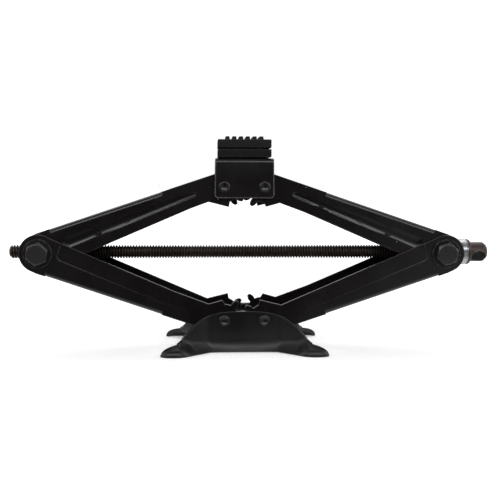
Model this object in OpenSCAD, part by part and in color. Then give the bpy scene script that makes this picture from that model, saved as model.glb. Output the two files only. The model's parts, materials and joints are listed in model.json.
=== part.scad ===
// Scissor jack: four pressed channel arms with gear-toothed ends, a lead screw
// between two trunnions, a pressed stand and a studded rubber pad.
// Axes: +X towards the drive eye, +Y away from the front, +Z up.
// Origin: on the floor, under the middle of the stand.

/* [Linkage] */
// Distance between the two pivots of an arm
arm_len = 171; // [168:0.5:174]
// Angle of the arms above level, as stored
rest_angle = 19.9; // [15:0.1:30]
// Half the distance between the two pins of the stand, and of the saddle
pivot_half = 17.5; // [17.3:0.1:17.8]
// Height of the stand's pins above the floor
base_pivot_z = 27.8; // [27:0.1:30]

/* [Arms] */
// Thickness of the arms' sheet steel
arm_sheet = 2.2; // [2:0.1:2.4]
// Half the outside width of the lower arms
lower_half_w = 22.5; // [22.3:0.1:22.7]
// Gap between an upper arm and the lower arm around it
nest_gap = 0.9; // [0.8:0.1:1]
// Radius of the round eye at the trunnion end
eye_r = 16.5; // [16:0.1:16.8]
// Outside radius of the bend between the web and a flange
arm_bend_r = 4.2; // [3.8:0.1:4.4]
// Depth of the groove pressed into the upper arms, at its wide end
bead_depth = 1.4; // [1:0.1:1.5]
// Depth of the step pressed into the lower arms, where it starts
joggle_depth = 0.5; // [0.3:0.1:0.5]

/* [Stand] */
// Thickness of the stand's sheet steel
base_sheet = 3.2; // [3:0.1:3.4]
// Half the outside width of the stand's upright walls
base_half_w = 26.5; // [26.4:0.1:27]
// Distance of each foot's centre from the middle, along the jack
foot_x = 58.5; // [57:0.5:59]
// Distance of each foot's centre from the middle, across the jack
foot_y = 39; // [38:0.5:39.5]
// Radius of the round feet
foot_r = 14; // [13.5:0.5:14.5]
// Angle by which each wing turns out from the wall
wing_angle = 30; // [28:1:31]

/* [Screw] */
// Radius of the lead screw over its thread
screw_r = 6; // [5.8:0.1:6]
// Place of the screw's free end, from the middle
screw_tip_x = 207; // [204:0.5:209]
// Radius of the cross trunnions
trunnion_r = 12.5; // [12:0.1:12.8]
// Radius of the hole in the drive eye
drive_hole_r = 6; // [5.5:0.1:6.2]
// Turn of the drive eye about the screw, as stored
drive_turn = 37; // [0:1:60]

/* [Pad] */
// Half the length of the rubber pad
pad_half_x = 23.3; // [22:0.1:24]
// Half the width of the rubber pad
pad_half_y = 22; // [21:0.1:23]
// Height of the studs on the pad
stud_h = 2.8; // [2:0.1:3]

/* [Fits] */
// Radial gap between a pin and the arm that turns on it
pin_gap = 0.05; // [0.03:0.01:0.09]
// Side gap between faces that pass each other
side_gap = 0.3; // [0.3:0.05:0.4]

/* [Hidden] */
$fn = 64;

// Linkage places that follow from the driving sizes
end_x = pivot_half + arm_len * cos(rest_angle);
screw_z = base_pivot_z + arm_len * sin(rest_angle);
saddle_pivot_z = base_pivot_z + 2 * arm_len * sin(rest_angle);

// Gear ends: ten-tooth spacing, so that a pitch circle touches the other arm's
gear_teeth = 10;
gear_pitch_r = pivot_half;
gear_module = 2 * gear_pitch_r / gear_teeth;
gear_step = 360 / gear_teeth;
gear_pressure = 25;
gear_base_r = gear_pitch_r * cos(gear_pressure);
gear_tip_r = gear_pitch_r + 0.77 * gear_module;
gear_root_r = gear_pitch_r - 1.06 * gear_module;
gear_backlash = 0.3;
tooth_half_angle = gear_step / 4 - gear_backlash / 2 / gear_pitch_r * 180 / PI;
// Middle tooth of each flange, measured from level with the arm as stored
middle_tooth_a = 18;
middle_tooth_b = 0;

// Side outline of an arm: s runs from the trunnion to the gear end, p towards the screw
outer_p_eye = 16.9;
outer_p_gear = 13.2;
outer_slope = atan((outer_p_eye - outer_p_gear) / arm_len);
inner_p_eye = 15.9;
waist_s = 122;
waist_p = 8.8;
web_end_s = 118;
lower_web_s = 12;
upper_web_s = 16;
web_notch_r = 15;

// Tapered groove of the upper arms, wide near the trunnion: its ends' places and half widths
bead_wide = [27.6, -0.6];
bead_wide_half = 5.8;
bead_narrow = [143.4, -3];
bead_narrow_half = 2.25;
bead_narrow_depth = bead_depth - 0.4;

// Step of the lower arms, which fades out towards the gear end
joggle_start = [19, 0.8];
joggle_end = [145, -5.7];
joggle_hook_r = 4;

// Stack across the jack
upper_half_w = lower_half_w - arm_sheet - nest_gap;
trunnion_half_w = upper_half_w - arm_sheet - 0.5;
washer_t = 1.3;
washer_r = 12.6;
head_h = 5.5;
head_flats = 18;
shoulder_r = 6;
bolt_thread_r = 5;
bolt_reach = 7.5;
head_turn_left = 21.5;
head_turn_right = 18.5;
nut_bore_gap = 0.15;
journal_gap = 0.05;
race_gap = 0.12;
head_y = lower_half_w + side_gap + washer_t;
thread_gap = 0.05;

// Pins of the stand and the saddle
pin_r = 4;
pin_head_r = 4.9;
pin_head_h = 1.6;

// Stand outline
crease_x = 31;
wall_top_z = 8;
skirt_out = 4;
skirt_top_z = 12;
skirt_bottom_z = 1;
wing_len = 40;
floor_z = 1;
floor_t = 2.6;
floor_end_x = 50;
foot_sink = 4;
lobe_len = 27;
lobe_taper = 2;

// Saddle
saddle_half_w = 23;
saddle_sheet = 3;
saddle_half_x = 26;
saddle_drop = 9.9;
saddle_top_z = saddle_pivot_z + 24.8;
saddle_bend_r = 4;

// Pad, from the saddle's top upwards
plate_t = 1;
plate_half = [18.7, 17];
tray_wall = 2.2;
tray_floor_z = saddle_top_z + plate_t + tray_wall;
tray_top_z = saddle_top_z + 7.8;
pad_groove = 1;
pad_top_z = saddle_top_z + 16.2;
pad_bolt_r = 4;
pad_bolt_hole_r = 4.2;
pad_head_r = 7;
pad_head_h = 3.5;
nut_h = 6.5;
nut_flats = 13;
stud_pitch = 5.9;
stud_half = 1.7;
studs_x = 6;
studs_y = 6;

// Bearing stack along the screw, from the right trunnion outwards
boss_r = 10.8;
boss_face_x = end_x + 12.7;
race_t = 3.6;
ball_r = 2.38;
ball_ring_r = 8.5;
ball_count = 10;
ball_x = boss_face_x + race_t + 1.4;
shell_r = 11.4;
shell_t = 0.4;
shell_start_x = end_x + trunnion_r + 0.1 - 1;
washer_x = end_x + 23.2;
collar_x = washer_x + 1;
socket_depth = 2.6;

// ---- Shared shapes ----

// A flat outline drawn in X and Z, given thickness along Y and centred on it
module across(width) {
    rotate([90, 0, 0]) linear_extrude(width, center = true) children();
}

module along_y(r, y0, y1) {
    translate([0, y1, 0]) rotate([90, 0, 0]) cylinder(r = r, h = y1 - y0);
}

module along_x(r, x0, x1) {
    translate([x0, 0, 0]) rotate([0, 90, 0]) cylinder(r = r, h = x1 - x0);
}

// Puts a shape drawn for the front on the rear as well
module front_and_rear() {
    children();
    mirror([0, 1, 0]) children();
}

// ---- Gear-toothed arms ----

function involute(r) = tan(acos(gear_base_r / r)) * 180 / PI - acos(gear_base_r / r);
function flank_angle(r) = tooth_half_angle + involute(gear_pitch_r) - involute(max(r, gear_base_r));
function polar(r, a) = [r * cos(a), r * sin(a)];

module gear_tooth() {
    radii = [for (k = [0 : 4]) gear_base_r + (gear_tip_r - gear_base_r) * k / 4];
    low = [polar(gear_root_r - 1, -flank_angle(gear_base_r))];
    up = [for (r = radii) polar(r, -flank_angle(r))];
    down = [for (k = [4 : -1 : 0]) polar(radii[k], flank_angle(radii[k]))];
    last = [polar(gear_root_r - 1, flank_angle(gear_base_r))];
    polygon(concat(low, up, down, last));
}

// Outline of one flange; kind "a" and "b" differ by half a tooth
module flange_outline(kind) {
    middle = kind == "a" ? middle_tooth_a : middle_tooth_b;
    shoulder = kind == "a" ? [17.4, 115] : [18.1, 97];
    bend_point = kind == "a" ? [153.6, 8.6] : [152.4, 7];
    circle(r = eye_r);
    polygon([
        [0, -outer_p_eye + 0.4],
        [4, -outer_p_eye],
        [arm_len, -outer_p_gear],
        [arm_len, 0],
        [arm_len, 0] + polar(gear_root_r - 0.5, shoulder[1] - 9),
        [arm_len, 0] + polar(shoulder[0], shoulder[1]),
        bend_point,
        [waist_s, waist_p],
        [4, inner_p_eye],
        [0, 0]
    ]);
    translate([arm_len, 0]) circle(r = gear_root_r);
    for (k = [-1 : 1])
        translate([arm_len, 0]) rotate(middle + rest_angle + k * gear_step) gear_tooth();
}

module pivot_holes() {
    circle(r = shoulder_r + pin_gap);
    translate([arm_len, 0]) circle(r = pin_r + pin_gap);
}

// Cross-section of the channel, open towards +Z, with its web face on Z = 0
module channel_section(half_w, sheet, bend_r, height) {
    difference() {
        union() {
            translate([-half_w, bend_r]) square([2 * half_w, height - bend_r]);
            translate([-half_w + bend_r, 0]) square([2 * (half_w - bend_r), bend_r]);
            for (side = [-1, 1]) translate([side * (half_w - bend_r), bend_r]) circle(r = bend_r);
        }
        translate([-half_w + sheet, bend_r]) square([2 * (half_w - sheet), height]);
        translate([-half_w + bend_r, sheet]) square([2 * (half_w - bend_r), height]);
        for (side = [-1, 1]) translate([side * (half_w - bend_r), bend_r]) circle(r = bend_r - sheet);
    }
}

// The channel lies along the outer edge of the arm, from web_s to web_end_s
module bent_stretch(half_w, web_s) {
    intersection() {
        translate([0, 0, -outer_p_eye]) rotate([0, -outer_slope, 0])
            rotate([90, 0, 90]) linear_extrude(arm_len) channel_section(half_w, arm_sheet, arm_bend_r, 60);
        union() {
            flange_slab("a", -half_w, 0);
            flange_slab("b", 0, half_w);
        }
        translate([web_s, -half_w, -30]) cube([web_end_s - web_s, 2 * half_w, 80]);
    }
}

module flange_slab(kind, y0, y1) {
    translate([0, (y0 + y1) / 2, 0]) across(y1 - y0) difference() {
        flange_outline(kind);
        pivot_holes();
    }
}

module flat_stretches(half_w, web_s) {
    difference() {
        union() {
            flange_slab("a", -half_w, -half_w + arm_sheet);
            flange_slab("b", half_w - arm_sheet, half_w);
        }
        translate([web_s, -half_w - 1, -30]) cube([web_end_s - web_s, 2 * half_w + 2, 80]);
    }
}

// Round notches in both ends of the web leave room for the screw and the gears
module web_notches(half_w, web_s) {
    notch = half_w - arm_bend_r - 2;
    for (s = [web_s - web_notch_r + 7, web_end_s + web_notch_r - 7])
        translate([s, 0, -outer_p_eye - 2]) cylinder(r = min(notch, web_notch_r), h = 9);
}

module channel_arm(half_w, web_s) {
    difference() {
        bent_stretch(half_w, web_s);
        web_notches(half_w, web_s);
    }
    flat_stretches(half_w, web_s);
}

// Radius of the ball whose dent has this half width and depth
function dent_r(half_w, depth) = (half_w * half_w + depth * depth) / 2 / depth;

// Round tapered bar that presses the groove into the front flange; grow gives its other side
module bead_bar(grow) {
    wide_r = dent_r(bead_wide_half, bead_depth);
    narrow_r = dent_r(bead_narrow_half, bead_narrow_depth);
    wide_y = -upper_half_w - wide_r + bead_depth;
    narrow_y = -upper_half_w - narrow_r + bead_narrow_depth;
    along = [bead_narrow[0] - bead_wide[0], narrow_y - wide_y, bead_narrow[1] - bead_wide[1]];
    length = norm(along);
    translate([bead_wide[0], wide_y, bead_wide[1]])
        rotate([0, acos(along[2] / length), atan2(along[1], along[0])]) rotate_extrude() intersection() {
            union() {
                circle(r = wide_r + grow);
                translate([0, length]) circle(r = narrow_r + grow);
                polygon([[0, 0], [wide_r + grow, 0], [narrow_r + grow, length], [0, length]]);
            }
            translate([0, -50]) square([50, length + 100]);
        }
}

module upper_arm() {
    difference() {
        union() {
            channel_arm(upper_half_w, upper_web_s);
            front_and_rear() intersection() {
                bead_bar(arm_sheet);
                translate([0, -upper_half_w + 0.3, -30]) cube([arm_len, arm_sheet + bead_depth, 60]);
            }
        }
        front_and_rear() bead_bar(0);
    }
}

// Band along the inner edge that is pressed in by the joggle
module joggle_outline() {
    intersection() {
        union() {
            polygon([joggle_start, joggle_end, [joggle_end[0], 30], [joggle_start[0] + 2, 30]]);
            translate([joggle_start[0] + 1, joggle_start[1] + joggle_hook_r]) circle(r = joggle_hook_r);
            translate([joggle_start[0] - 3, joggle_start[1] + joggle_hook_r]) square([6, 30]);
        }
        polygon([[10, -20], [150, -20], [150, 9.5], [waist_s, waist_p + 2], [10, 30]]);
    }
}

// Everything outside the step's sloping floor in the front flange; sheet gives its other side
module joggle_side(sheet) {
    run = joggle_end[0] - joggle_start[0];
    translate([joggle_end[0], -lower_half_w + sheet, 0]) rotate([0, 0, -atan(joggle_depth / run)])
        translate([-arm_len, -10, -40]) cube([arm_len + 10, 10, 80]);
}

module lower_arm() {
    out = lower_half_w;
    inside = out - arm_sheet;
    difference() {
        channel_arm(out, lower_web_s);
        front_and_rear() intersection() {
            translate([0, -out, 0]) across(4 * joggle_depth) joggle_outline();
            joggle_side(0);
        }
    }
    for (side = [["a", 0], ["b", 1]]) mirror([0, side[1], 0]) intersection() {
        translate([0, -inside, 0]) across(2) intersection() {
            flange_outline(side[0]);
            joggle_outline();
        }
        joggle_side(arm_sheet);
        translate([0, -inside - 0.2, -40]) cube([arm_len, 2, 80]);
    }
}

// Places an arm drawn in s and p from the left trunnion to the left pin of the stand
module lower_left_place() {
    translate([-end_x, 0, screw_z]) rotate([0, rest_angle, 0]) children();
}

module upper_left_place() {
    translate([0, 0, 2 * screw_z]) rotate([180, 0, 0]) lower_left_place() children();
}

module lower_left_arm() {
    color("#1c1c1f") lower_left_place() lower_arm();
}

module lower_right_arm() {
    color("#1c1c1f") rotate([0, 0, 180]) lower_left_place() lower_arm();
}

module upper_left_arm() {
    color("#202024") upper_left_place() upper_arm();
}

module upper_right_arm() {
    color("#202024") rotate([0, 0, 180]) upper_left_place() upper_arm();
}

// ---- Stand ----

// Upright wall with its skirt leaning out at the foot; X is outwards, Y is up
module wall_section() {
    t = base_sheet;
    polygon([
        [-t, 60],
        [-t, skirt_top_z - 1],
        [skirt_out - t - 0.2, -3],
        [skirt_out + 0.8, -3],
        [skirt_out, skirt_bottom_z - 1],
        [0.8, skirt_top_z - 3],
        [0, skirt_top_z + 1],
        [0, 60]
    ]);
}

// A length of the wall, from the origin along +X with its outside towards -Y
module wall_length(length) {
    translate([length, 0, 0]) rotate([90, 0, -90]) linear_extrude(length) wall_section();
}

// Front wall from the middle to the crease, and the wing that turns out from there
module wall_half() {
    translate([-1, -base_half_w, 0]) wall_length(crease_x + 2.8);
    translate([crease_x, -base_half_w, 0]) rotate([0, 0, -wing_angle])
        translate([-0.3, 0, 0]) wall_length(wing_len);
}

// Side view of the stand without its feet: a bell raised a little off the floor in the middle
module bell_outline() {
    top = base_pivot_z + wall_top_z;
    for (side = [0, 1]) mirror([side, 0])
        polygon([
            [0, skirt_bottom_z],
            [40, skirt_bottom_z],
            [54, 0],
            [foot_x, 0],
            [foot_x, 9.2],
            [54.5, 12.3],
            [51, 15.8],
            [47, 20.8],
            [40, 26.6],
            [33.5, 30.8],
            [25, 33.8],
            [17, 35.2],
            [10, top],
            [0, top]
        ]);
}

// Ball at the foot that runs back along the wing as a cone, about the foot's centre
module foot_lobe(r) {
    rotate([0, 0, -wing_angle]) rotate([0, 90, 0]) rotate_extrude() intersection() {
        union() {
            circle(r = r);
            polygon([[0, 0], [r - 0.15, 0], [r - lobe_taper, -lobe_len], [0, -lobe_len]]);
        }
        translate([0, -lobe_len - 1]) square([r + 1, lobe_len + r + 2]);
    }
}

// Hollow lobe on the outer side of the wing's line, open towards the middle
module foot_dome() {
    translate([foot_x, -foot_y, -foot_sink]) intersection() {
        difference() {
            foot_lobe(foot_r);
            foot_lobe(foot_r - base_sheet);
        }
        rotate([0, 0, -wing_angle]) translate([-40, -39.5, foot_sink]) cube([80, 40, 40]);
    }
}

module foot_hollow() {
    translate([foot_x, -foot_y, -foot_sink]) foot_lobe(foot_r - base_sheet);
}

module stand_front() {
    difference() {
        intersection() {
            union() {
                wall_half();
                mirror([1, 0, 0]) wall_half();
            }
            across(200) bell_outline();
        }
        for (side = [0, 1]) mirror([side, 0, 0]) foot_hollow();
    }
    for (side = [0, 1]) mirror([side, 0, 0]) foot_dome();
}

// Floor of the stand, under the gears and out between the wings
module stand_floor() {
    wall_y = base_half_w + 1.6;
    end_y = wall_y + (floor_end_x - crease_x) * tan(wing_angle);
    end_arc_r = 45;
    translate([0, 0, floor_z]) linear_extrude(floor_t) difference() {
        for (side = [0, 1]) mirror([side, 0])
            polygon([
                [0, -wall_y], [crease_x, -wall_y], [floor_end_x, -end_y],
                [floor_end_x, end_y], [crease_x, wall_y], [0, wall_y]
            ]);
        for (side = [-1, 1])
            translate([side * (floor_end_x + end_arc_r - 9), 0]) circle(r = end_arc_r);
    }
}

module base_stand() {
    color("#232326") difference() {
        union() {
            front_and_rear() stand_front();
            stand_floor();
        }
        for (x = [-pivot_half, pivot_half]) translate([x, 0, base_pivot_z])
            along_y(pin_r + thread_gap, -40, 40);
    }
}

// ---- Pins, bolts and washers ----

// Plain pin with a low turned head at both ends, centred on the jack
module headed_pin(half_w) {
    along_y(pin_r, -half_w - 0.1, half_w + 0.1);
    front_and_rear() rotate([90, 0, 0]) rotate_extrude()
        polygon([
            [0, half_w], [pin_head_r, half_w], [pin_head_r, half_w + pin_head_h - 0.7],
            [pin_head_r - 0.9, half_w + pin_head_h], [0, half_w + pin_head_h]
        ]);
}

module base_pin(side) {
    color("#2a2a2c") translate([side * pivot_half, 0, base_pivot_z]) headed_pin(base_half_w);
}

module saddle_pin(side) {
    color("#2a2a2c") translate([side * pivot_half, 0, saddle_pivot_z]) headed_pin(saddle_half_w);
}

// Hexagon of the head, cut to a round rim by its chamfer
module hex_head(turn) {
    corner_r = head_flats / 2 / cos(30);
    chamfer = 1.4;
    intersection() {
        rotate([0, 0, turn]) cylinder(r = corner_r, h = head_h, $fn = 6);
        rotate_extrude() polygon([
            [0, 0], [corner_r + 1, 0], [corner_r + 1, head_h - chamfer - 0.6],
            [head_flats / 2 - 1, head_h], [0, head_h]
        ]);
    }
}

// Shoulder bolt: the shoulder seats on the trunnion and the arms turn on it
module trunnion_bolt(x, turn) {
    translate([x, -head_y, screw_z]) rotate([90, 0, 0]) {
        hex_head(turn);
        translate([0, 0, trunnion_half_w - head_y]) cylinder(r = shoulder_r, h = head_y - trunnion_half_w + 0.1);
        translate([0, 0, bolt_reach - head_y]) cylinder(r = bolt_thread_r - thread_gap, h = head_y - bolt_reach);
    }
}

module bolt_washer(x) {
    translate([x, 0, screw_z]) difference() {
        along_y(washer_r, -head_y, -head_y + washer_t);
        along_y(shoulder_r + 0.1, -head_y - 1, -head_y + washer_t + 1);
    }
}

module left_front_bolt() { color("#3a383d") trunnion_bolt(-end_x, head_turn_left); }
module left_rear_bolt() { color("#3a383d") mirror([0, 1, 0]) trunnion_bolt(-end_x, head_turn_left); }
module right_front_bolt() { color("#3a383d") trunnion_bolt(end_x, head_turn_right); }
module right_rear_bolt() { color("#3a383d") mirror([0, 1, 0]) trunnion_bolt(end_x, head_turn_right); }
module left_front_washer() { color("#4a484c") bolt_washer(-end_x); }
module left_rear_washer() { color("#4a484c") mirror([0, 1, 0]) bolt_washer(-end_x); }
module right_front_washer() { color("#4a484c") bolt_washer(end_x); }
module right_rear_washer() { color("#4a484c") mirror([0, 1, 0]) bolt_washer(end_x); }

// ---- Trunnions and screw ----

// Cross trunnion about its own centre: bolt holes in its ends, screw hole through it
module trunnion_blank() {
    difference() {
        along_y(trunnion_r, -trunnion_half_w, trunnion_half_w);
        front_and_rear() along_y(bolt_thread_r, -trunnion_half_w - 1, -bolt_reach);
    }
}

module left_trunnion_nut() {
    color("#343236") translate([-end_x, 0, screw_z]) difference() {
        trunnion_blank();
        along_x(screw_r + nut_bore_gap, -20, 20);
    }
}

module right_trunnion() {
    flat_x = 11.5;
    color("#343236") translate([0, 0, screw_z]) difference() {
        union() {
            intersection() {
                translate([end_x, 0, 0]) trunnion_blank();
                translate([end_x - 20, -30, -30]) cube([20 + flat_x, 60, 60]);
            }
            difference() {
                along_x(boss_r, end_x + 7, boss_face_x);
                translate([end_x, 0, 0]) front_and_rear()
                    along_y(bolt_thread_r, -trunnion_half_w - 1, -bolt_reach);
            }
        }
        along_x(screw_r + journal_gap, end_x - 20, end_x + 20);
    }
}

// Race with a round track for the balls in its inner face, at distance x from the balls
module race(x0, x1, outside_r) {
    translate([0, 0, screw_z]) difference() {
        along_x(outside_r, x0, x1);
        along_x(screw_r + race_gap, x0 - 1, x1 + 1);
        translate([ball_x, 0, 0]) rotate([0, 90, 0]) rotate_extrude()
            translate([ball_ring_r, 0]) circle(r = ball_r + 0.05);
    }
}

module bearing_rear_race() {
    color("#b9bbbd") race(boss_face_x, boss_face_x + race_t, boss_r);
}

module bearing_front_race() {
    color("#b9bbbd") race(ball_x + 1.4, washer_x, boss_r - 0.1);
}

module bearing_balls() {
    color("#d8dadc") translate([ball_x, 0, screw_z])
        for (k = [0 : ball_count - 1]) rotate([k * 360 / ball_count, 0, 0])
            translate([0, 0, ball_ring_r]) sphere(r = ball_r);
}

module bearing_shell() {
    color("#a9abad") translate([0, 0, screw_z]) difference() {
        along_x(shell_r, shell_start_x, washer_x - side_gap);
        along_x(shell_r - shell_t, shell_start_x - 1, washer_x + 1);
        translate([end_x, 0, 0]) along_y(trunnion_r + 0.1, -20, 20);
    }
}

// Rod under its thread's crests, with a chamfer at the free end
module lead_screw() {
    socket_x = collar_x + socket_depth;
    chamfer = 1.6;
    color("#3b3633") translate([0, 0, screw_z]) rotate([0, 90, 0]) rotate_extrude() polygon([
        [0, -screw_tip_x], [screw_r - chamfer, -screw_tip_x], [screw_r, -screw_tip_x + chamfer],
        [screw_r, socket_x], [0, socket_x]
    ]);
}

module thrust_washer() {
    color("#8d8e90") translate([0, 0, screw_z]) difference() {
        along_x(11, washer_x, collar_x);
        along_x(screw_r + 0.1, washer_x - 1, collar_x + 1);
    }
}

// Forged head on the screw: a round collar, then a flattened eye for the crank's hook
module drive_eye() {
    collar_r = 11.35;
    collar_t = 3;
    collar_chamfer = 0.95;
    eye_half = 8.7;
    eye_chamfer = [3, 2.6];
    flat_half = 6.5;
    tip_x = collar_x + 18.6;
    hole_x = collar_x + 10.8;
    color("#4a3f38") translate([0, 0, screw_z]) rotate([drive_turn, 0, 0]) difference() {
        union() {
            rotate([0, 90, 0]) rotate_extrude() polygon([
                [0, collar_x], [collar_r, collar_x], [collar_r, collar_x + collar_t - collar_chamfer],
                [collar_r - collar_chamfer, collar_x + collar_t], [0, collar_x + collar_t]
            ]);
            intersection() {
                rotate([0, 90, 0]) rotate_extrude() polygon([
                    [0, collar_x + 1], [eye_half, collar_x + 1], [eye_half, tip_x - eye_chamfer[0]],
                    [eye_half - eye_chamfer[1], tip_x], [0, tip_x]
                ]);
                translate([collar_x, -flat_half, -20]) cube([40, 2 * flat_half, 40]);
            }
        }
        along_x(screw_r + thread_gap, collar_x - 1, collar_x + socket_depth + thread_gap);
        translate([hole_x, 0, 0]) along_y(drive_hole_r, -20, 20);
    }
}

// ---- Saddle and pad ----

module saddle_bracket() {
    bottom = saddle_pivot_z - saddle_drop;
    corner_r = 3;
    lean = 0.5;
    color("#232326") difference() {
        intersection() {
            translate([-40, 0, saddle_top_z]) mirror([0, 0, 1]) rotate([90, 0, 90]) linear_extrude(80)
                channel_section(saddle_half_w, saddle_sheet, saddle_bend_r, 60);
            across(80) union() {
                polygon([
                    [-saddle_half_x, bottom + corner_r], [-saddle_half_x + corner_r, bottom],
                    [saddle_half_x - corner_r, bottom], [saddle_half_x, bottom + corner_r],
                    [saddle_half_x - lean, saddle_top_z], [-saddle_half_x + lean, saddle_top_z]
                ]);
                for (side = [-1, 1])
                    translate([side * (saddle_half_x - corner_r), bottom + corner_r]) circle(r = corner_r);
            }
        }
        for (x = [-pivot_half, pivot_half]) translate([x, 0, saddle_pivot_z])
            along_y(pin_r + thread_gap, -40, 40);
        pad_bolt_hole();
    }
}

// Clear hole for the pad's bolt through the saddle, the plate and the tray
module pad_bolt_hole() {
    translate([0, 0, saddle_top_z - 10]) cylinder(r = pad_bolt_hole_r, h = 20);
}

module block(half_x, half_y, z0, z1) {
    translate([-half_x, -half_y, z0]) cube([2 * half_x, 2 * half_y, z1 - z0]);
}

module pad_backing_plate() {
    color("#2c2c2e") difference() {
        block(plate_half[0], plate_half[1], saddle_top_z, saddle_top_z + plate_t);
        pad_bolt_hole();
    }
}

module pad_tray() {
    color("#2c2c2e") difference() {
        block(pad_half_x, pad_half_y, saddle_top_z + plate_t, tray_top_z);
        block(pad_half_x - tray_wall, pad_half_y - tray_wall, tray_floor_z, tray_top_z + 1);
        pad_bolt_hole();
    }
}

module rubber_pad() {
    plug_gap = 0.1;
    head_gap = 0.3;
    color("#1f1f20") difference() {
        union() {
            block(pad_half_x - tray_wall - plug_gap, pad_half_y - tray_wall - plug_gap,
                tray_floor_z, tray_top_z + pad_groove + 1);
            block(pad_half_x, pad_half_y, tray_top_z + pad_groove, pad_top_z);
            for (i = [0 : studs_x - 1], j = [0 : studs_y - 1])
                translate([(i - (studs_x - 1) / 2) * stud_pitch, (j - (studs_y - 1) / 2) * stud_pitch, 0])
                    block(stud_half, stud_half, pad_top_z - 1, pad_top_z + stud_h);
        }
        translate([0, 0, tray_floor_z - 1]) cylinder(r = pad_head_r + head_gap, h = pad_head_h + 2.5);
    }
}

module pad_bolt() {
    bolt_end_z = saddle_top_z - saddle_sheet - nut_h - 1.5;
    color("#3a383d") {
        translate([0, 0, tray_floor_z]) cylinder(r = pad_head_r, h = pad_head_h);
        translate([0, 0, bolt_end_z]) cylinder(r = pad_bolt_r, h = tray_floor_z + 1 - bolt_end_z);
    }
}

module pad_nut() {
    color("#3a383d") translate([0, 0, saddle_top_z - saddle_sheet - nut_h]) difference() {
        cylinder(r = nut_flats / 2 / cos(30), h = nut_h, $fn = 6);
        translate([0, 0, -1]) cylinder(r = pad_bolt_r + thread_gap, h = nut_h + 2);
    }
}

base_stand();
base_pin(-1);  // base_pin_left
base_pin(1);  // base_pin_right
lower_left_arm();
lower_right_arm();
upper_left_arm();
upper_right_arm();
left_trunnion_nut();
left_front_bolt();
left_rear_bolt();
left_front_washer();
left_rear_washer();
right_trunnion();
right_front_bolt();
right_rear_bolt();
right_front_washer();
right_rear_washer();
bearing_rear_race();
bearing_shell();
bearing_balls();
bearing_front_race();
lead_screw();
thrust_washer();
drive_eye();
saddle_bracket();
saddle_pin(-1);  // saddle_pin_left
saddle_pin(1);  // saddle_pin_right
pad_backing_plate();
pad_tray();
rubber_pad();
pad_bolt();
pad_nut();
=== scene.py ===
"""Scissor jack: the finishes and fine shapes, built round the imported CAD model.

Metres, +X towards the drive eye, +Y away from the front, +Z up. The origin is on the
floor under the middle of the stand, and every piece keeps its place in its mesh.
"""

import json
import math

import bmesh
import bpy
from mathutils import Matrix, Vector
from mathutils.kdtree import KDTree

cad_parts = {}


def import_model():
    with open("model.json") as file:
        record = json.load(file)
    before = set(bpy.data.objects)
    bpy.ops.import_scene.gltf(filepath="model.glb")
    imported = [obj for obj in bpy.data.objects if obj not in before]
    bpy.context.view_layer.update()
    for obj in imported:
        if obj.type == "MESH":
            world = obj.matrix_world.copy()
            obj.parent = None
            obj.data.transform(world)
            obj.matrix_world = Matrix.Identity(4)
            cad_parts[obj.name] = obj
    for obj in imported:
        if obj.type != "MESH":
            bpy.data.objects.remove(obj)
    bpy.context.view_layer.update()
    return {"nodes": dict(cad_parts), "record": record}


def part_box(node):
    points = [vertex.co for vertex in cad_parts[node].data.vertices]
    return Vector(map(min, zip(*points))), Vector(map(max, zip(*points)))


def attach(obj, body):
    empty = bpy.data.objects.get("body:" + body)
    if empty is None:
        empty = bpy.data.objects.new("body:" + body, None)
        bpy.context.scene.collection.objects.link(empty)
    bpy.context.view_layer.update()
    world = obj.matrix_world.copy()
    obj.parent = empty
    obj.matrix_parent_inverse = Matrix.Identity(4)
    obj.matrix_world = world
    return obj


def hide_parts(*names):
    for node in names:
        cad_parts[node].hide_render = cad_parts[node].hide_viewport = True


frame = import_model()

MM = 0.001
# Vertices nearer than this are one vertex drawn twice
DOUBLES_GAP = 0.002 * MM
TURNED_STEPS = 56


# ---- Working in object and edit mode ----


def pick(piece):
    """Makes piece the only selected object, and the active one."""
    bpy.ops.object.select_all(action="DESELECT")
    piece.select_set(True)
    bpy.context.view_layer.objects.active = piece


def edit(piece):
    """Opens piece in edit mode with nothing selected."""
    pick(piece)
    bpy.ops.object.mode_set(mode="EDIT")
    bpy.ops.mesh.select_mode(type="VERT")
    bpy.ops.mesh.select_all(action="DESELECT")


def done():
    """Goes back to object mode."""
    bpy.ops.object.mode_set(mode="OBJECT")


def select(kind, test):
    """In edit mode, selects only the "VERT", "EDGE" or "FACE" elements that test accepts."""
    bpy.ops.mesh.select_mode(type=kind)
    bpy.ops.mesh.select_all(action="DESELECT")
    mesh = bmesh.from_edit_mesh(bpy.context.object.data)
    for element in {"VERT": mesh.verts, "EDGE": mesh.edges, "FACE": mesh.faces}[kind]:
        if test(element):
            element.select_set(True)
    mesh.select_flush_mode()
    bmesh.update_edit_mesh(bpy.context.object.data)


def use_modifier(piece, kind, **settings):
    """Adds a modifier with these settings and applies it."""
    modifier = piece.modifiers.new(kind.title(), kind)
    for name, value in settings.items():
        setattr(modifier, name, value)
    pick(piece)
    bpy.ops.object.modifier_apply(modifier=modifier.name)


def named(name):
    """The piece just added, under its own name."""
    piece = bpy.context.object
    piece.name = name
    piece.data.name = name
    return piece


def drawn_line(name, points):
    """An open line of edges through the points, drawn by extruding one vertex."""
    bpy.ops.mesh.primitive_plane_add(size=MM, location=points[0])
    piece = named(name)
    edit(piece)
    bpy.ops.mesh.select_all(action="SELECT")
    bpy.ops.mesh.merge(type="CENTER")
    for start, end in zip(points, points[1:]):
        step = Vector(end) - Vector(start)
        bpy.ops.mesh.extrude_vertices_move(TRANSFORM_OT_translate={"value": step})
    done()
    settle(piece)
    return piece


def settle(piece):
    """Moves the object's own place, turn and size into its mesh."""
    pick(piece)
    bpy.ops.object.transform_apply(location=True, rotation=True, scale=True)


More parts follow.
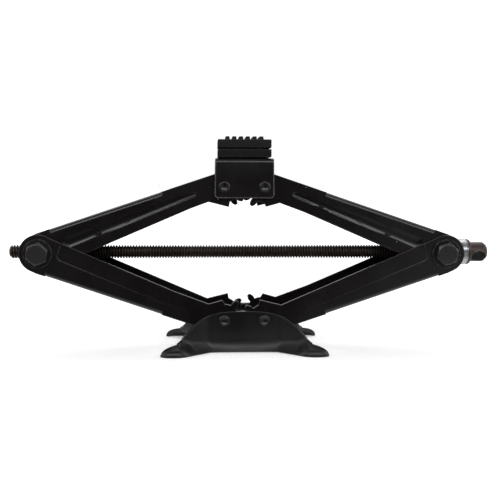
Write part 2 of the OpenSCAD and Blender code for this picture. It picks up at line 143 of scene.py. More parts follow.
def close_up(piece, gap=DOUBLES_GAP):
    """Merges doubled vertices and turns every face outwards."""
    edit(piece)
    bpy.ops.mesh.select_all(action="SELECT")
    bpy.ops.mesh.remove_doubles(threshold=gap)
    bpy.ops.mesh.normals_make_consistent(inside=False)
    done()


def smooth(piece, angle=35):
    """Smooth shading, with flat areas kept flat beside their rounded edges."""
    pick(piece)
    bpy.ops.object.shade_smooth_by_angle(angle=math.radians(angle))
    use_modifier(piece, "WEIGHTED_NORMAL", keep_sharp=True, weight=50)


def round_edges(piece, width, segments=3, angle=30):
    """Rolls over every edge sharper than angle."""
    use_modifier(
        piece, "BEVEL", width=width, segments=segments, limit_method="ANGLE",
        angle_limit=math.radians(angle), use_clamp_overlap=False, miter_outer="MITER_ARC",
    )
    smooth(piece)


def turned(name, profile, place, axis):
    """A turned solid: the profile's (radius, distance along the axis) points, from axis to axis."""
    axis = Vector(axis)
    outwards = axis.orthogonal().normalized()
    piece = drawn_line(name, [Vector(place) + r * outwards + along * axis for r, along in profile])
    edit(piece)
    bpy.ops.mesh.select_all(action="SELECT")
    bpy.ops.mesh.spin(steps=TURNED_STEPS, angle=math.tau, center=place, axis=axis)
    done()
    close_up(piece)
    return piece


def bridged(name, sections):
    """An open sheet: each section is drawn as a line of edges, then the lines are bridged in turn."""
    bpy.ops.mesh.primitive_plane_add(size=MM)
    piece = named(name)
    edit(piece)
    bpy.ops.mesh.select_all(action="SELECT")
    bpy.ops.mesh.delete(type="VERT")
    middles = KDTree(sum(len(points) - 1 for points in sections))
    for line, points in enumerate(sections):
        bpy.ops.mesh.primitive_plane_add(size=MM, location=points[0])
        bpy.ops.mesh.merge(type="CENTER")
        for start, end in zip(points, points[1:]):
            bpy.ops.mesh.extrude_vertices_move(TRANSFORM_OT_translate={"value": end - start})
            middles.insert((start + end) / 2, line)
        bpy.ops.mesh.select_all(action="DESELECT")
    middles.balance()

    def line_of(edge):
        """The line that the edge was drawn in, or None for an edge that a bridge made."""
        _, drawn_in, distance = middles.find((edge.verts[0].co + edge.verts[1].co) / 2)
        return drawn_in if distance < DOUBLES_GAP else None

    for line in range(len(sections) - 1):
        select("EDGE", lambda edge: line_of(edge) in (line, line + 1))
        bpy.ops.mesh.bridge_edge_loops()
    done()
    settle(piece)
    return piece


def traced(node, name):
    """A copy of a CAD node's mesh, merged, with each flat area as one face."""
    piece = bpy.data.objects.new(name, frame["nodes"][node].data.copy())
    piece.data.materials.clear()
    bpy.context.scene.collection.objects.link(piece)
    pick(piece)
    bpy.ops.mesh.customdata_custom_splitnormals_clear()
    edit(piece)
    bpy.ops.mesh.select_all(action="SELECT")
    bpy.ops.mesh.remove_doubles(threshold=DOUBLES_GAP)
    bpy.ops.mesh.dissolve_limited(angle_limit=math.radians(0.6))
    done()
    return piece


# ---- Material building ----


def paint(hex_text):
    """Linear colour from a hexadecimal display colour."""
    shares = [int(hex_text[i : i + 2], 16) / 255 for i in (1, 3, 5)]
    return (*[c / 12.92 if c <= 0.04045 else ((c + 0.055) / 1.055) ** 2.4 for c in shares], 1)


class Tree:
    """A node tree, with short calls for the nodes used here."""

    def __init__(self, tree):
        self.tree = tree

    def add(self, kind, inputs=(), **settings):
        node = self.tree.nodes.new(kind)
        for name, value in settings.items():
            setattr(node, name, value)
        for name, value in dict(inputs).items():
            if isinstance(value, bpy.types.NodeSocket):
                self.tree.links.new(value, node.inputs[name])
            else:
                node.inputs[name].default_value = value
        return node

    def math(self, operation, a, b=0.0, clamp=False):
        node = self.add("ShaderNodeMath", {0: a, 1: b}, operation=operation, use_clamp=clamp)
        return node.outputs[0]

    def spread(self, value, low, high, to_low=0.0, to_high=1.0):
        """Value from low..high carried to to_low..to_high, smoothly and clamped."""
        sockets = {
            "Value": value, "From Min": low, "From Max": high, "To Min": to_low, "To Max": to_high,
        }
        return self.add("ShaderNodeMapRange", sockets, interpolation_type="SMOOTHSTEP").outputs[0]

    def mix(self, share, a, b):
        sockets = {"Factor": share, 6: a, 7: b}
        return self.add("ShaderNodeMix", sockets, data_type="RGBA").outputs[2]

    def place(self, scale=(1, 1, 1)):
        coordinates = self.add("ShaderNodeTexCoord").outputs["Object"]
        return self.add("ShaderNodeMapping", {"Vector": coordinates, "Scale": scale}).outputs[0]

    def noise(self, place, scale, detail=2.0, roughness=0.5):
        sockets = {"Vector": place, "Scale": scale, "Detail": detail, "Roughness": roughness}
        return self.add("ShaderNodeTexNoise", sockets).outputs["Fac"]


def new_group(name, inputs, outputs):
    """A shader node group with float inputs and their defaults, and float outputs."""
    group = bpy.data.node_groups.new(name, "ShaderNodeTree")
    for socket, default in inputs.items():
        made = group.interface.new_socket(name=socket, in_out="INPUT", socket_type="NodeSocketFloat")
        made.default_value = default
    for socket in outputs:
        group.interface.new_socket(name=socket, in_out="OUTPUT", socket_type="NodeSocketFloat")
    tree = Tree(group)
    return tree, tree.add("NodeGroupInput").outputs, tree.add("NodeGroupOutput").inputs


def edge_wear_and_highlight_group():
    """Convex edges, broken up by a noise: worn paint where a finish is thin, and a painted highlight
    along the edges.
    """
    defaults = {"Reach": 0.8 * MM, "Breakup": 400.0, "Cover": 0.5}
    tree, given, out = new_group("Edge wear and highlight", defaults, ["Mask"])
    inner = tree.add(
        "ShaderNodeAmbientOcclusion", {"Distance": given["Reach"]},
        inside=True, only_local=True, samples=6,
    ).outputs["AO"]
    edge = tree.spread(inner, 0.95, 0.55)
    broken = tree.noise(tree.place(), given["Breakup"], 4.0, 0.65)
    left_over = tree.math("SUBTRACT", 1.0, given["Cover"])
    softness = 0.12
    kept_low = tree.math("SUBTRACT", left_over, softness)
    kept_high = tree.math("ADD", left_over, softness)
    kept = tree.spread(broken, kept_low, kept_high)
    tree.tree.links.new(tree.math("MULTIPLY", edge, kept), out["Mask"])
    return tree.tree


def specks_group():
    """Sparse dust specks of uneven size."""
    defaults = {"Scale": 260.0, "Share": 0.2, "Size": 0.12}
    tree, given, out = new_group("Dust specks", defaults, ["Mask"])
    place = tree.place()
    cells = tree.add("ShaderNodeTexVoronoi", {"Vector": place, "Scale": given["Scale"]})
    chance = tree.add("ShaderNodeSeparateColor", {"Color": cells.outputs["Color"]})
    chosen = tree.math("LESS_THAN", chance.outputs["Red"], given["Share"])
    size = tree.math("MULTIPLY", chance.outputs["Green"], given["Size"])
    inner = tree.math("MULTIPLY", size, 0.5)
    speck = tree.spread(cells.outputs["Distance"], size, inner)
    tree.tree.links.new(tree.math("MULTIPLY", chosen, speck), out["Mask"])
    return tree.tree


def skin_group():
    """The skin of a finish: fine height for the bump, and a slow patchy variation."""
    defaults = {"Peel": 900.0, "Grain": 4200.0, "Patch": 28.0}
    tree, given, out = new_group("Finish skin", defaults, ["Height", "Patches"])
    place = tree.place()
    peel = tree.noise(place, given["Peel"], 1.5)
    grain = tree.noise(place, given["Grain"], 2.0)
    height = tree.math("ADD", tree.math("MULTIPLY", peel, 0.7), tree.math("MULTIPLY", grain, 0.3))
    tree.tree.links.new(height, out["Height"])
    tree.tree.links.new(tree.spread(tree.noise(place, given["Patch"], 3.0), 0.3, 0.7), out["Patches"])
    return tree.tree


EDGE_WEAR_AND_HIGHLIGHT = edge_wear_and_highlight_group()
SPECKS = specks_group()
SKIN = skin_group()


def finish_material(
    name, colour, edge_colour, dust_colour="#8f8d8b", metallic=0.0, specular=0.5, roughness=0.4,
    patchiness=0.08, bump=0.15, bump_height=0.05 * MM, skin=(), wear_and_highlight=(), dust=(), patch_colour=None,
):
    """A surface with a base colour, patches, pale edges of worn paint with a painted highlight, dust and
    a fine skin.
    """
    material = bpy.data.materials.new(name)
    material.use_nodes = True
    tree = Tree(material.node_tree)
    material.node_tree.nodes.clear()
    skin_node = tree.add("ShaderNodeGroup", node_tree=SKIN)
    wear_and_highlight_node = tree.add("ShaderNodeGroup", node_tree=EDGE_WEAR_AND_HIGHLIGHT)
    dust_node = tree.add("ShaderNodeGroup", node_tree=SPECKS)
    for node, values in ((skin_node, skin), (wear_and_highlight_node, wear_and_highlight), (dust_node, dust)):
        for socket, value in dict(values).items():
            node.inputs[socket].default_value = value
    patches = skin_node.outputs["Patches"]
    base = tree.mix(patches, paint(colour), paint(patch_colour or colour))
    # Pale edges: partly worn paint, partly a painted highlight along the edges
    worn_and_lit = tree.mix(wear_and_highlight_node.outputs["Mask"], base, paint(edge_colour))
    dusty = tree.mix(dust_node.outputs["Mask"], worn_and_lit, paint(dust_colour))
    rough = tree.spread(patches, 0.0, 1.0, roughness - patchiness, roughness + patchiness)
    normal = tree.add(
        "ShaderNodeBump",
        {"Strength": bump, "Distance": bump_height, "Height": skin_node.outputs["Height"]},
    ).outputs["Normal"]
    shader = tree.add("ShaderNodeBsdfPrincipled", {
        "Base Color": dusty, "Roughness": rough, "Normal": normal,
        "Metallic": metallic, "Specular IOR Level": specular,
    })
    tree.add("ShaderNodeOutputMaterial", {"Surface": shader.outputs[0]})
    return material


EYE_METALLIC = 0.7

MATERIALS = {
    "stand_paint": finish_material(
        "Stand enamel", "#0a0809", "#454244", specular=0.4, roughness=0.36,
        patchiness=0.04, patch_colour="#0d0b0c", wear_and_highlight={"Cover": 0.6}, dust={"Share": 0.05},
    ),
    "arm_paint": finish_material(
        "Arm enamel", "#090607", "#484345", specular=0.5, roughness=0.26,
        patchiness=0.03, patch_colour="#0b0708", wear_and_highlight={"Cover": 0.6}, dust={"Share": 0.06, "Size": 0.15},
    ),
    # The saddle's pale, wide edges are partly worn paint and partly a painted highlight along its sheet
    # edges
    "saddle_paint": finish_material(
        "Saddle enamel", "#080506", "#7c7678", specular=0.5, roughness=0.28,
        patchiness=0.03, patch_colour="#0b0708",
        wear_and_highlight={"Cover": 0.85, "Reach": 1.2 * MM}, dust={"Share": 0.05},
    ),
    "pin_steel": finish_material(
        "Pin heads", "#151112", "#6a6567", metallic=0.2, specular=0.6, roughness=0.26,
    ),
    "bolt_steel": finish_material(
        "Blacked bolt", "#2b292a", "#7a7677", metallic=0.5, specular=0.6, roughness=0.34,
    ),
    "washer_steel": finish_material(
        "Blacked washer", "#111012", "#5b585f", metallic=0.3, specular=0.5, roughness=0.34,
    ),
    "trunnion_steel": finish_material(
        "Trunnion steel", "#1a191c", "#5f5c63", metallic=0.4, specular=0.5, roughness=0.38,
    ),
    "screw_steel": finish_material(
        "Oiled screw", "#3d3531", "#5b524c", metallic=0.7, specular=0.4, roughness=0.38,
        patch_colour="#2a2421",
    ),
    "zinc_shell": finish_material(
        "Zinc shell", "#8e9092", "#b4b6b8", metallic=1.0, roughness=0.34, patch_colour="#7b7d80",
    ),
    "bearing_steel": finish_material(
        "Bearing steel", "#a5a7aa", "#c8cacc", metallic=1.0, roughness=0.2, bump=0.05,
    ),
    "forged_steel": finish_material(
        "Forged eye", "#463d3a", "#8d827b", metallic=EYE_METALLIC, specular=0.4, roughness=0.5,
        patch_colour="#2c2624", bump=0.35, bump_height=0.1 * MM,
    ),
    "tray_paint": finish_material(
        "Tray enamel", "#080707", "#474445", specular=0.2, roughness=0.45,
        wear_and_highlight={"Cover": 0.6}, dust={"Share": 0.08},
    ),
    "pad_rubber": finish_material(
        "Pad rubber", "#100e0f", "#2a2828", specular=0.25, roughness=0.65,
        skin={"Peel": 700.0, "Grain": 2600.0}, bump=0.7, bump_height=0.15 * MM, dust={"Share": 0.1},
    ),
}


# The drive eye's cross hole: its middle, the lean of its axis off level, and where its wall starts
EYE_BORE = Vector((213.289, 0, 86.005)) * MM
EYE_BORE_TURN = math.radians(37)
EYE_BORE_RIM_R = 6.35 * MM
EYE_BORE_WALL_R = 6.1 * MM


def paint_shade_in_bore(material):
    """Painted shade: the eye's bore is coloured near black inside, dull and not metallic, where the hole
    is in shade.
    """
    tree = Tree(material.node_tree)
    shader = next(node for node in material.node_tree.nodes if node.type == "BSDF_PRINCIPLED")
    axis = (0, -math.cos(EYE_BORE_TURN), -math.sin(EYE_BORE_TURN))
    place = tree.add("ShaderNodeTexCoord").outputs["Object"]
    reach = tree.add("ShaderNodeVectorMath", {0: place, 1: EYE_BORE}, operation="SUBTRACT").outputs[0]
    across = tree.add("ShaderNodeVectorMath", {0: reach, 1: axis}, operation="CROSS_PRODUCT").outputs[0]
    distance = tree.add("ShaderNodeVectorMath", {0: across}, operation="LENGTH").outputs["Value"]
    colour = shader.inputs["Base Color"].links[0].from_socket
    inside = tree.spread(distance, EYE_BORE_RIM_R, EYE_BORE_WALL_R)
    # Painted shade: the bore's wall is near black, standing for the shade inside the hole
    shaded_colour = tree.mix(inside, colour, paint("#0c0a0a"))
    material.node_tree.links.new(shaded_colour, shader.inputs["Base Color"])
    rough = shader.inputs["Roughness"].links[0].from_socket
    dull = tree.spread(inside, 0.0, 1.0, 0.0, 0.35)
    material.node_tree.links.new(tree.math("ADD", rough, dull), shader.inputs["Roughness"])
    metal = tree.spread(inside, 0.0, 1.0, EYE_METALLIC, 0.0)
    material.node_tree.links.new(metal, shader.inputs["Metallic"])


paint_shade_in_bore(MATERIALS["forged_steel"])


def stands_for(piece, node, body, slot):
    """Puts piece in a CAD node's place, on its body and with its finish."""
    piece.data.materials.clear()
    piece.data.materials.append(MATERIALS[slot])
    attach(piece, body)
    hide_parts(node)


BODY_OF = {
    node: body for body, nodes in frame["record"]["behaviour"]["bodies"].items() for node in nodes
}


# ---- Pieces that follow the CAD shape, with rolled edges ----

# CAD node: (finish, radius of the rolled edges)
ROLLED = {
    "lower_left_arm": ("arm_paint", 0.35 * MM),
    "lower_right_arm": ("arm_paint", 0.35 * MM),
    "upper_left_arm": ("arm_paint", 0.35 * MM),
    "upper_right_arm": ("arm_paint", 0.35 * MM),
    "saddle_bracket": ("saddle_paint", 0.6 * MM),
    "left_trunnion_nut": ("trunnion_steel", 0.4 * MM),
    "right_trunnion": ("trunnion_steel", 0.4 * MM),
    "left_front_bolt": ("bolt_steel", 0.4 * MM),
    "left_rear_bolt": ("bolt_steel", 0.4 * MM),
    "right_front_bolt": ("bolt_steel", 0.4 * MM),
    "right_rear_bolt": ("bolt_steel", 0.4 * MM),
    "left_front_washer": ("washer_steel", 0.25 * MM),
    "left_rear_washer": ("washer_steel", 0.25 * MM),
    "right_front_washer": ("washer_steel", 0.25 * MM),
    "right_rear_washer": ("washer_steel", 0.25 * MM),
    "bearing_shell": ("zinc_shell", 0.15 * MM),
    "bearing_rear_race": ("bearing_steel", 0.2 * MM),
    "bearing_front_race": ("bearing_steel", 0.2 * MM),
    "thrust_washer": ("zinc_shell", 0.2 * MM),
    "drive_eye": ("forged_steel", 0.5 * MM),
    "pad_backing_plate": ("tray_paint", 0.2 * MM),
    "pad_tray": ("tray_paint", 0.5 * MM),
    "pad_bolt": ("bolt_steel", 0.3 * MM),
    "pad_nut": ("bolt_steel", 0.3 * MM),
}

for node, (slot, radius) in ROLLED.items():
    rolled = traced(node, node + "_rolled")
    round_edges(rolled, radius)
    stands_for(rolled, node, BODY_OF[node], slot)

# The balls are round in the CAD already, so they keep its shape and get only a finish
frame["nodes"]["bearing_balls"].material_slots[0].material = MATERIALS["bearing_steel"]


# ---- Lead screw ----


def lead_screw():
    """Rolled thread: one pitch of its profile is run along the rod as a helix."""
    low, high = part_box("lead_screw")
    crest_r = (high.z - low.z) / 2
    axis_z = (high.z + low.z) / 2
    pitch = 2.5 * MM
    thread_depth = 1.45 * MM
    root_r = crest_r - thread_depth
    turns = math.ceil((high.x - low.x) / pitch) + 2
    # Distance along one pitch, and how far up the thread it is
    profile = [(0.0, 0.0), (0.10, 0.0), (0.17, 0.06), (0.40, 0.94), (0.46, 1.0),
               (0.64, 1.0), (0.70, 0.94), (0.93, 0.06), (1.0, 0.0)]
    start_x = low.x - pitch
    points = [
        (start_x + along * pitch, 0, root_r + up * thread_depth) for along, up in profile
    ]
    thread = drawn_line("lead_screw_thread", points)
    use_modifier(
        thread, "SCREW", axis="X", angle=math.tau, screw_offset=pitch, iterations=turns,
        steps=32, render_steps=32, use_merge_vertices=False, use_smooth_shade=True,
    )
    thread.location.z = axis_z
    settle(thread)
    close_up(thread)
    edit(thread)
    for cut_x, side in ((low.x, -1), (high.x, 1)):
        bpy.ops.mesh.select_all(action="SELECT")
        bpy.ops.mesh.bisect(
            plane_co=(cut_x, 0, axis_z), plane_no=(side, 0, 0), use_fill=True, clear_outer=True,
            threshold=0.0001 * MM,
        )
    done()
    # The free end's chamfer runs down to just under the thread's root
    chamfer = 1.8 * MM
    for vertex in thread.data.vertices:
        from_axis = Vector((0, vertex.co.y, vertex.co.z - axis_z))
        limit = crest_r - chamfer + max(0.0, vertex.co.x - low.x)
        if from_axis.length > limit:
            from_axis *= limit / from_axis.length
            vertex.co.y = from_axis.y
            vertex.co.z = axis_z + from_axis.z
    close_up(thread, 0.02 * MM)
    smooth(thread, 50)
    stands_for(thread, "lead_screw", "screw", "screw_steel")


lead_screw()


# ---- Stand ----

STAND_SHEET = 3.2 * MM
WALL_Y = 26.5 * MM
CREASE_X = 31 * MM
WING_TURN = math.radians(30)
BEND_R = 9 * MM
FOOT = Vector((58.5, -39, 0)) * MM
FOOT_TOP = 9.4 * MM
FOOT_SIDE_R = 12.4 * MM
FOOT_TOE_R = 15.8 * MM
SKIRT_OUT = 4 * MM
KNEE_Z = 13 * MM
# Control points from the knee to the rim: share of the way out, and height in millimetres
SKIRT_CURVE = [(0, 13), (0, 9.5), (0.15, 6.4), (0.5, 3.6), (1, 0.6)]
FOOT_CURVE = [(0, 9.4), (0.35, 8.5), (0.7, 7.1), (1, 5.4), (1, 0)]
SECTION_POINTS = 13
# Below this height the upper edge of the wall starts to round over into a foot
ROUNDING_TOP = 22 * MM
# The wall starts to swing in towards the foot's middle this far before the crease
SWING_START = -12 * MM
# Steps between sections along the level wall, round the crease, along the wing and round the toe
WALL_STEPS, CREASE_STEPS, WING_STEPS, TOE_STEPS = 4, 5, 14, 8
STAND_FLOOR_Z = 2.3 * MM
STAND_FLOOR_SHEET = 2.6 * MM
STAND_FLOOR_CORNER = 8 * MM
# Height of the stand's upper edge at places along it
BELL = [(-10, 35.8), (0, 35.8), (10, 35.7), (17, 35.2), (25, 33.8), (33.5, 30.6), (40, 26.2),
        (45, 21.4), (49, 17.0), (53, 13.3), (58.5, 9.4), (64, 7)]


def smooth_line(stops, x):
    """Height at x of a smooth curve through the (x, height) stops."""
    k = max([1] + [i for i in range(1, len(stops) - 2) if stops[i][0] <= x])
    (xa, a), (xb, b), (xc, c), (xd, d) = stops[k - 1 : k + 3]
    t = min(1.0, max(0.0, (x - xb) / (xc - xb)))
    rise_b = (c - a) / (xc - xa) * (xc - xb)
    rise_c = (d - b) / (xd - xb) * (xc - xb)
    t2, t3 = t * t, t * t * t
    start = (2 * t3 - 3 * t2 + 1) * b + (t3 - 2 * t2 + t) * rise_b
    return start + (3 * t2 - 2 * t3) * c + (t3 - t2) * rise_c


def ease(value, start, end):
    """0 before start and 1 after end, with a smooth rise between."""
    t = min(1.0, max(0.0, (value - start) / (end - start)))
    return t * t * (3 - 2 * t)


def stand_section(base, outwards, top, out):
    """One section of the pressing: upright with a flared skirt, or low and lipped over a foot."""
    roundness = 1 - ease(top, FOOT_TOP, ROUNDING_TOP)
    upright = 2 if top > KNEE_Z else 0
    knee = min(top, KNEE_Z)
    control = [
        Vector((out * (a + (c - a) * roundness), (b + (d - b) * roundness) * MM))
        for (a, b), (c, d) in zip(SKIRT_CURVE, FOOT_CURVE)
    ]
    control[0].y = knee
    points = [Vector((0, top + (knee - top) * k / 2)) for k in range(upright)]
    curved = SECTION_POINTS - upright
    for k in range(curved):
        t = k / (curved - 1)
        shares = [n * t**i * (1 - t) ** (4 - i) for i, n in enumerate((1, 4, 6, 4, 1))]
        points.append(sum((share * c for share, c in zip(shares, control)), Vector((0, 0))))
    return [base + point.x * outwards + Vector((0, 0, point.y)) for point in points]


def stand_quarter():
    """The front right quarter, as sections from the middle, along the wing and round the foot."""
    along = Vector((math.cos(WING_TURN), -math.sin(WING_TURN), 0))
    outwards = Vector((-math.sin(WING_TURN), -math.cos(WING_TURN), 0))
    crease = Vector((CREASE_X, -WALL_Y, 0))
    foot_along = (FOOT - crease).dot(along)
    foot_in = (crease + foot_along * along - FOOT).length
    bend = BEND_R * math.tan(WING_TURN / 2)
    centre = Vector((CREASE_X - bend, -WALL_Y - BEND_R, 0))
    stations = [
        (Vector(((CREASE_X - bend) * k / WALL_STEPS, -WALL_Y, 0)), 0.0) for k in range(WALL_STEPS)
    ]
    for k in range(CREASE_STEPS + 1):
        turn = WING_TURN * k / CREASE_STEPS
        stations.append((centre + BEND_R * Vector((math.sin(turn), math.cos(turn), 0)), turn))
    for k in range(1, WING_STEPS + 1):
        stations.append((crease + along * (bend + (foot_along - bend) * k / WING_STEPS), WING_TURN))
    sections = []
    for place, turn in stations:
        facing = Vector((-math.sin(turn), -math.cos(turn), 0))
        nearness = ease((place - crease).dot(along), SWING_START, foot_along)
        top = smooth_line(BELL, place.x / MM) * MM
        out = SKIRT_OUT + (FOOT_SIDE_R - SKIRT_OUT) * nearness
        sections.append(stand_section(place - facing * foot_in * nearness, facing, top, out))
    for k in range(1, TOE_STEPS + 1):
        swing = math.radians(90) * k / TOE_STEPS
        facing = math.cos(swing) * outwards + math.sin(swing) * along
        toe_share = ease(swing, math.radians(30), math.radians(90))
        out = FOOT_SIDE_R + (FOOT_TOE_R - FOOT_SIDE_R) * toe_share
        sections.append(stand_section(FOOT, facing, FOOT_TOP, out))
    return sections


def stand():
    """Pressed stand: two flared walls with a domed foot at each end, joined by a floor."""
    wall = bridged("stand_pressing", stand_quarter())
    use_modifier(wall, "MIRROR", use_axis=(True, False, False), merge_threshold=0.02 * MM)
    close_up(wall, 0.02 * MM)
    front = min(wall.data.polygons, key=lambda f: (f.center - Vector((0, -WALL_Y, 25 * MM))).length)
    if front.normal.y > 0:
        edit(wall)
        bpy.ops.mesh.select_all(action="SELECT")
        bpy.ops.mesh.flip_normals()
        done()
    use_modifier(wall, "SOLIDIFY", thickness=STAND_SHEET, offset=-1, use_even_offset=False)
    # The sheet's lower edge is made level, just clear of the floor
    rim_z = 0.05 * MM
    edit(wall)
    select("VERT", lambda v: v.co.z < rim_z)
    bpy.ops.transform.resize(value=(1, 1, 0), center_override=(0, 0, rim_z))
    done()
    use_modifier(wall, "BEVEL", width=0.6 * MM, segments=3, limit_method="ANGLE",
                 angle_limit=math.radians(50), use_clamp_overlap=True)
    use_modifier(wall, "MIRROR", use_axis=(False, True, False), use_mirror_merge=False)
    bpy.ops.mesh.primitive_cube_add(
        size=1, location=(0, 0, STAND_FLOOR_Z),
        scale=(2 * CREASE_X + 26 * MM, 2 * WALL_Y + 2.4 * MM, STAND_FLOOR_SHEET),
    )
    plate = named("stand_floor")
    settle(plate)
    edit(plate)
    select("EDGE", lambda e: abs(e.verts[0].co.z - e.verts[1].co.z) > MM)
    bpy.ops.mesh.bevel(offset=STAND_FLOOR_CORNER, segments=6)
    done()
    use_modifier(plate, "BEVEL", width=0.5 * MM, segments=2, limit_method="ANGLE",
                 angle_limit=math.radians(50))
    bpy.ops.object.select_all(action="DESELECT")
    wall.select_set(True)
    plate.select_set(True)
    bpy.context.view_layer.objects.active = wall
    bpy.ops.object.join()
    close_up(wall, 0.001 * MM)
    smooth(wall, 40)
    stands_for(wall, "base_stand", "base", "stand_paint")


stand()


# ---- Pins ----


def headed_pin(node, body):
    """Pin with a rolled-over ring round a dished middle at both ends."""
    low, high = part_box(node)
    place = (low + high) / 2
    tip = (high.y - low.y) / 2
    head_r = (high.z - low.z) / 2
    head_h = 1.6 * MM
    shank_r = 4 * MM
    half = [
        (0, tip - 0.75 * MM), (0.45 * head_r, tip - 0.7 * MM), (0.58 * head_r, tip - 0.25 * MM),
        (0.7 * head_r, tip), (0.82 * head_r, tip - 0.12 * MM), (0.95 * head_r, tip - 0.55 * MM),
        (head_r, tip - 1.0 * MM), (head_r, tip - head_h), (shank_r, tip - head_h),
    ]
    profile = half + [(r, -along) for r, along in reversed(half)]
    pin = turned(node + "_turned", profile, place, (0, 1, 0))
    smooth(pin, 40)
    stands_for(pin, node, body, "pin_steel")


for side in ("left", "right"):
    headed_pin("base_pin_" + side, "base")
    headed_pin("saddle_pin_" + side, "saddle")


# ---- Rubber pad ----


def rubber_pad():
    """Block with a neck that sits in the tray, and a field of square studs on top."""
    low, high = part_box("rubber_pad")
    tray_low, tray_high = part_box("pad_tray")
    stud_h = 2.8 * MM
    top_z = high.z - stud_h
    body_low_z = tray_high.z + 1.0 * MM
    size = Vector((high.x - low.x, high.y - low.y, top_z - body_low_z))
    centre = Vector(((low.x + high.x) / 2, (low.y + high.y) / 2, (top_z + body_low_z) / 2))
    bpy.ops.mesh.primitive_cube_add(size=1, location=centre, scale=size)
    pad = named("rubber_pad_block")
    settle(pad)
    edit(pad)
    # The neck
    select("FACE", lambda f: f.normal.z < -0.9)
    bpy.ops.mesh.inset(thickness=2.3 * MM)
    bpy.ops.mesh.extrude_region_move(TRANSFORM_OT_translate={"value": (0, 0, low.z - body_low_z)})
    done()
    round_edges(pad, 0.9 * MM)
    # The studs start 1 mm inside the block and narrow towards their tops
    rows = 6
    pitch = 5.9 * MM
    half = 2.3 * MM
    sunk = 1 * MM
    studs = []
    for i in range(rows):
        for j in range(rows):
            x = centre.x + (i - (rows - 1) / 2) * pitch
            y = centre.y + (j - (rows - 1) / 2) * pitch
            bpy.ops.mesh.primitive_cube_add(
                size=1, location=(x, y, top_z + (stud_h - sunk) / 2),
                scale=(2 * half, 2 * half, stud_h + sunk),
            )
            stud = named(f"stud_{i}_{j}")
            settle(stud)
            edit(stud)
            select("FACE", lambda f: f.normal.z > 0.9)
            bpy.ops.transform.resize(value=(0.7, 0.7, 1), center_override=(x, y, high.z))
            done()
            studs.append(stud)
    bpy.ops.object.select_all(action="DESELECT")
    for stud in studs:
        stud.select_set(True)
    bpy.context.view_layer.objects.active = studs[0]
    bpy.ops.object.join()
    joined = bpy.context.object
    use_modifier(joined, "BEVEL", width=0.3 * MM, segments=2)
    bpy.ops.object.select_all(action="DESELECT")
    joined.select_set(True)
    pad.select_set(True)
    bpy.context.view_layer.objects.active = pad
    bpy.ops.object.join()
    smooth(pad, 40)
    stands_for(pad, "rubber_pad", "saddle", "pad_rubber")


rubber_pad()


# ---- Studio ----


CAMERA_PLACE = Vector((-29.6, -722.9, 148.8)) * MM
CAMERA_TURNS = (2.82, -4.85, 0.242)  # Yaw, pitch and roll in degrees
CAMERA_LENS = 58.08
LAMP_AIM = (0, 0, 0.1)
SURROUND_LEVEL = 0.42


def camera():
    """The front view, from a little above the screw."""
    data = bpy.data.cameras.new("Camera")
    data.sensor_width = 36
    data.lens = CAMERA_LENS
    data.clip_start = 0.01
    yaw, pitch, roll = (math.radians(a) for a in CAMERA_TURNS)
    level = Vector((math.sin(yaw), math.cos(yaw), 0))
    forward = math.cos(pitch) * level + Vector((0, 0, math.sin(pitch)))
    right = Vector((math.cos(yaw), -math.sin(yaw), 0))
    up = right.cross(forward)
    rolled_right = math.cos(roll) * right + math.sin(roll) * up
    rolled_up = math.cos(roll) * up - math.sin(roll) * right
    made = bpy.data.objects.new("Camera", data)
    turn = Matrix((rolled_right, rolled_up, -forward)).transposed().to_4x4()
    made.matrix_world = Matrix.Translation(CAMERA_PLACE) @ turn
    bpy.context.scene.collection.objects.link(made)
    bpy.context.scene.camera = made


def softbox(name, place, size, watts):
    """Rectangular lamp turned towards the middle of the object."""
    data = bpy.data.lights.new(name, "AREA")
    data.shape = "RECTANGLE"
    data.size, data.size_y = size
    data.energy = watts
    lamp = bpy.data.objects.new(name, data)
    lamp.location = place
    lamp.rotation_euler = (Vector(LAMP_AIM) - Vector(place)).to_track_quat("-Z", "Y").to_euler()
    bpy.context.scene.collection.objects.link(lamp)


def seen_directly(tree):
    """1 for what the camera, a gloss or a clear piece shows, 0 for light that falls on the object."""
    path = tree.add("ShaderNodeLightPath").outputs
    shown = tree.math("MAXIMUM", path["Is Camera Ray"], path["Is Glossy Ray"])
    return tree.math("MAXIMUM", shown, path["Is Transmission Ray"])


def world():
    """White surroundings. What a gloss shows of them is dim in front of the object."""
    made = bpy.data.worlds.new("Studio")
    made.use_nodes = True
    made.node_tree.nodes.clear()
    tree = Tree(made.node_tree)
    way = tree.add("ShaderNodeTexCoord").outputs["Generated"]
    split = tree.add("ShaderNodeSeparateXYZ", {"Vector": way}).outputs
    front = tree.spread(split["Y"], 0.15, -0.3)
    dim_right = tree.spread(split["X"], 0.16, 0.34, 0.96, 0.66)
    dim_left = tree.spread(split["X"], -0.18, -0.4, 0.0, 0.14)
    dimness = tree.math("MULTIPLY", front, tree.math("SUBTRACT", dim_right, dim_left))
    path = tree.add("ShaderNodeLightPath").outputs
    not_camera = tree.math("SUBTRACT", 1.0, path["Is Camera Ray"])
    shown = tree.mix(tree.math("MULTIPLY", dimness, not_camera), (1, 1, 1, 1), (0, 0, 0, 1))
    lighting = (SURROUND_LEVEL, SURROUND_LEVEL, SURROUND_LEVEL, 1)
    colour = tree.mix(seen_directly(tree), lighting, shown)
    background = tree.add("ShaderNodeBackground", {"Color": colour, "Strength": 1.0})
    tree.add("ShaderNodeOutputWorld", {"Surface": background.outputs[0]})
    bpy.context.scene.world = made


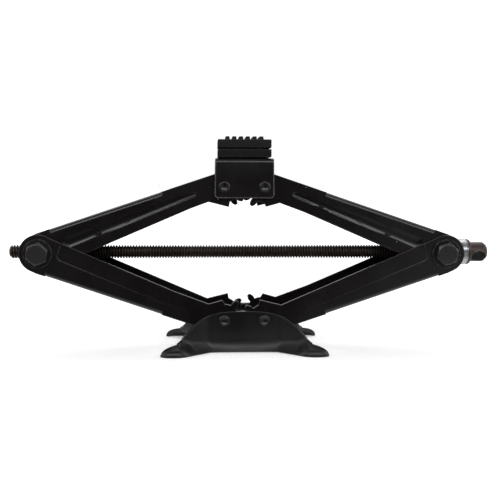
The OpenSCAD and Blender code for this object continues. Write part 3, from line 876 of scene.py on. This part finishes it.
def floor():
    """Pale floor that looks white, keeps the object's soft shadow and is dim in a gloss beside it."""
    bpy.ops.mesh.primitive_plane_add(size=30, location=(0, 0, -0.02 * MM))
    made = named("floor")
    material = bpy.data.materials.new("Floor")
    material.use_nodes = True
    material.node_tree.nodes.clear()
    tree = Tree(material.node_tree)
    place = tree.place()
    split = tree.add("ShaderNodeSeparateXYZ", {"Vector": place}).outputs
    ahead = tree.math("ABSOLUTE", split["Y"])
    aside = tree.math("DIVIDE", split["X"], tree.math("MAXIMUM", ahead, 0.01))
    dim_right = tree.spread(aside, 0.3, 0.6, 1.0, 0.68)
    dim_left = tree.spread(aside, -0.35, -0.7, 0.0, 0.14)
    in_front = tree.math(
        "MULTIPLY", tree.spread(ahead, 0.045, 0.09), tree.math("SUBTRACT", dim_right, dim_left)
    )
    path = tree.add("ShaderNodeLightPath").outputs
    gloss_only = tree.math("SUBTRACT", path["Is Glossy Ray"], path["Is Camera Ray"], clamp=True)
    dimness = tree.math("MULTIPLY", gloss_only, in_front)
    shade = tree.mix(dimness, (0.8, 0.8, 0.8, 1), (0.03, 0.03, 0.03, 1))
    white = tree.add("ShaderNodeBsdfDiffuse", {"Color": shade})
    from_middle = tree.add("ShaderNodeVectorMath", {0: place}, operation="LENGTH").outputs["Value"]
    share = tree.spread(from_middle, 0.1, 1.6, 0.36, 1.0)
    lightness = tree.math("MULTIPLY", seen_directly(tree), share)
    kept = tree.math("MULTIPLY", lightness, tree.spread(dimness, 1.0, 0.0, 0.02, 1.0))
    glow = tree.add("ShaderNodeEmission", {"Strength": kept})
    lit = tree.add("ShaderNodeAddShader", {0: white.outputs[0], 1: glow.outputs[0]})
    clear = tree.add("ShaderNodeBsdfTransparent")
    behind = tree.add("ShaderNodeNewGeometry").outputs["Backfacing"]
    mixed = tree.add("ShaderNodeMixShader", {0: behind, 1: lit.outputs[0], 2: clear.outputs[0]})
    tree.add("ShaderNodeOutputMaterial", {"Surface": mixed.outputs[0]})
    made.data.materials.append(material)


camera()
world()
floor()
softbox("Back softbox", (0.0, 0.7, 1.3), (1.8, 0.8), 9)
softbox("Front softbox", (0.0, -1.1, 0.8), (2.4, 0.45), 12)
softbox("Left softbox", (-1.3, -0.1, 0.7), (0.9, 0.9), 4)
softbox("Right softbox", (1.3, -0.1, 0.7), (0.9, 0.9), 4)
bpy.context.scene.view_settings.view_transform = "Standard"
